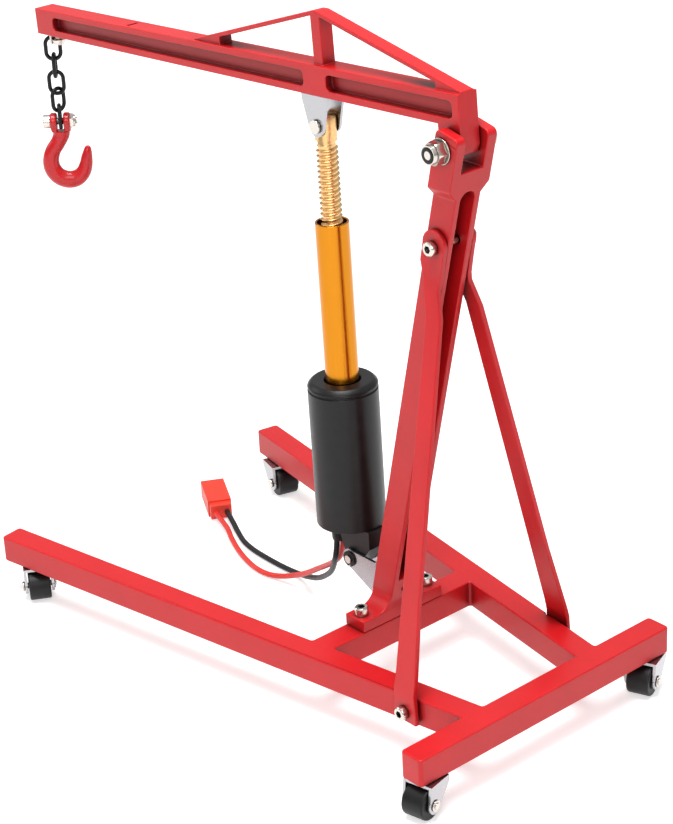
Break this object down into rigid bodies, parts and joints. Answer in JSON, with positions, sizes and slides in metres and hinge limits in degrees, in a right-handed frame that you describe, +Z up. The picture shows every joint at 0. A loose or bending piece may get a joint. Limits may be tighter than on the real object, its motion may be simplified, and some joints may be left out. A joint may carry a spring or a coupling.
{
  "type": "engine hoist crane",
  "caption": "Small-scale engine hoist crane: splayed base on swivel casters, leaning mast with braces, trussed boom, screw actuator, chain and hook.",
  "frame": {"origin": "on the floor at the centre of the bounding box, leads and plug left out", "axes": "+Z up, the boom points along -X over the open end of the legs, +Y to the right-hand leg as seen from behind the mast looking forward"},
  "size_m": [0.2117, 0.1077, 0.1861],
  "materials": {
    "red_paint": "red powder coat over aluminium, satin",
    "red_rubber": "soft red lead",
    "black_rubber": "soft black lead and grommet",
    "red_plastic": "red connector shell",
    "brass": "turned brass",
    "gold_anodised": "gold anodised aluminium",
    "black_anodised": "black anodised aluminium, satin",
    "motor_steel": "steel can",
    "black_plastic": "hard black roller",
    "blackened_steel": "blackened steel",
    "bracket_steel": "bright plated sheet steel",
    "fastener_steel": "bright plated steel"
  },
  "bodies": {
    "stand": {"base_frame": "red_paint", "mast": "red_paint", "mast_screws": "fastener_steel", "brace_left": "red_paint", "brace_right": "red_paint", "brace_top_bolt": "fastener_steel", "brace_top_nut": "fastener_steel", "brace_foot_screws": "fastener_steel", "lower_bracket": "bracket_steel", "lower_bracket_screw": "fastener_steel", "tail_pin": "fastener_steel", "tail_clip": "blackened_steel", "boom_bolt": "fastener_steel", "boom_nut": "fastener_steel", "boom_washers": "fastener_steel", "caster_rivets": "fastener_steel", "lead_red": "red_rubber", "lead_black": "black_rubber", "lead_plug": "red_plastic"},
    "arm": {"boom": "red_paint", "boom_bush": "brass", "upper_bracket": "bracket_steel", "upper_bracket_screw": "brass", "upper_pin": "fastener_steel", "chain_screw": "fastener_steel", "chain_eye": "fastener_steel"},
    "screw": {"lead_screw": "brass"},
    "actuator": {"motor_housing": "black_anodised", "housing_cap": "black_anodised", "motor": "motor_steel", "gearbox": "motor_steel", "thrust_bearing": "fastener_steel", "tail_mount": "black_anodised", "cable_grommet": "black_rubber"},
    "tube": {"outer_tube": "gold_anodised", "coupler": "fastener_steel"},
    "link_1": {"chain_link_1": "blackened_steel"},
    "link_2": {"chain_link_2": "blackened_steel"},
    "link_3": {"chain_link_3": "blackened_steel"},
    "link_4": {"chain_link_4": "blackened_steel"},
    "link_5": {"chain_link_5": "blackened_steel"},
    "hook_body": {"hook": "red_paint", "hook_bolt": "fastener_steel", "hook_nut": "fastener_steel"},
    "fork_1": {"caster_fork_1": "bracket_steel", "caster_axle_1": "fastener_steel"},
    "wheel_1": {"caster_wheel_1": "black_plastic"},
    "fork_2": {"caster_fork_2": "bracket_steel", "caster_axle_2": "fastener_steel"},
    "wheel_2": {"caster_wheel_2": "black_plastic"},
    "fork_3": {"caster_fork_3": "bracket_steel", "caster_axle_3": "fastener_steel"},
    "wheel_3": {"caster_wheel_3": "black_plastic"},
    "fork_4": {"caster_fork_4": "bracket_steel", "caster_axle_4": "fastener_steel"},
    "wheel_4": {"caster_wheel_4": "black_plastic"}
  },
  "joints": [
    {"name": "boom_lift", "type": "hinge", "parent": "stand", "child": "arm", "pos_m": [0.07481, 0, 0.1615], "axis": [0, 1, 0], "range_deg": [-18, 6]},
    {"name": "screw_pivot", "type": "hinge", "parent": "arm", "child": "screw", "pos_m": [0.02371, 0, 0.1557], "axis": [0, 1, 0], "range_deg": [-6.7, 19.7]},
    {"name": "actuator_pivot", "type": "hinge", "parent": "stand", "child": "actuator", "pos_m": [0.0296, 0, 0.0311], "axis": [0, 1, 0], "range_deg": [-0.7, 1.7]},
    {"name": "tube_spin", "type": "hinge", "parent": "actuator", "child": "tube", "pos_m": [0.02371, 0, 0.1557], "axis": [-0.0239, 0, 0.9997], "range_deg": [-3200, 3200]},
    {"name": "link_1_hang", "type": "hinge", "parent": "arm", "child": "link_1", "pos_m": [-0.10088, 0, 0.15445], "axis": [0, 1, 0], "range_deg": [-6.1, 18.1]},
    {"name": "link_2_swing", "type": "hinge", "parent": "link_1", "child": "link_2", "pos_m": [-0.10088, 0, 0.14835], "axis": [0.6428, 0.766, 0], "range_deg": [-18, 18]},
    {"name": "link_3_swing", "type": "hinge", "parent": "link_2", "child": "link_3", "pos_m": [-0.10088, 0, 0.14305], "axis": [0.7071, -0.7071, 0], "range_deg": [-18, 18]},
    {"name": "link_4_swing", "type": "hinge", "parent": "link_3", "child": "link_4", "pos_m": [-0.10088, 0, 0.13775], "axis": [0.9945, 0.1045, 0], "range_deg": [-18, 18]},
    {"name": "link_5_swing", "type": "hinge", "parent": "link_4", "child": "link_5", "pos_m": [-0.10088, 0, 0.13245], "axis": [0.5592, 0.829, 0], "range_deg": [-18, 18]},
    {"name": "hook_swing", "type": "hinge", "parent": "link_5", "child": "hook_body", "pos_m": [-0.10088, 0, 0.1297], "axis": [0.6428, 0.766, 0], "range_deg": [-20, 20]},
    {"name": "swivel_1", "type": "hinge", "parent": "stand", "child": "fork_1", "pos_m": [0.0998, -0.041, 0.0105], "axis": [0, 0, 1], "continuous": true},
    {"name": "roll_1", "type": "hinge", "parent": "fork_1", "child": "wheel_1", "pos_m": [0.10038, -0.04374, 0.0045], "axis": [0.9781, 0.2079, 0], "continuous": true},
    {"name": "swivel_2", "type": "hinge", "parent": "stand", "child": "fork_2", "pos_m": [0.0998, 0.041, 0.0105], "axis": [0, 0, 1], "continuous": true},
    {"name": "roll_2", "type": "hinge", "parent": "fork_2", "child": "wheel_2", "pos_m": [0.1008, 0.03839, 0.0045], "axis": [0.9336, 0.3584, 0], "continuous": true},
    {"name": "swivel_3", "type": "hinge", "parent": "stand", "child": "fork_3", "pos_m": [-0.0652, -0.04753, 0.0105], "axis": [0, 0, 1], "continuous": true},
    {"name": "roll_3", "type": "hinge", "parent": "fork_3", "child": "wheel_3", "pos_m": [-0.06277, -0.04893, 0.0045], "axis": [0.5, 0.866, 0], "continuous": true},
    {"name": "swivel_4", "type": "hinge", "parent": "stand", "child": "fork_4", "pos_m": [-0.0652, 0.04753, 0.0105], "axis": [0, 0, 1], "continuous": true},
    {"name": "roll_4", "type": "hinge", "parent": "fork_4", "child": "wheel_4", "pos_m": [-0.06251, 0.04676, 0.0045], "axis": [0.2756, 0.9613, 0], "continuous": true}
  ],
  "couplings": [
    {"joint": "screw_pivot", "follows": "boom_lift", "ratio": -1.085},
    {"joint": "actuator_pivot", "follows": "boom_lift", "ratio": -0.085},
    {"joint": "tube_spin", "follows": "boom_lift", "ratio": -172.6},
    {"joint": "link_1_hang", "follows": "boom_lift", "ratio": -1}
  ]
}
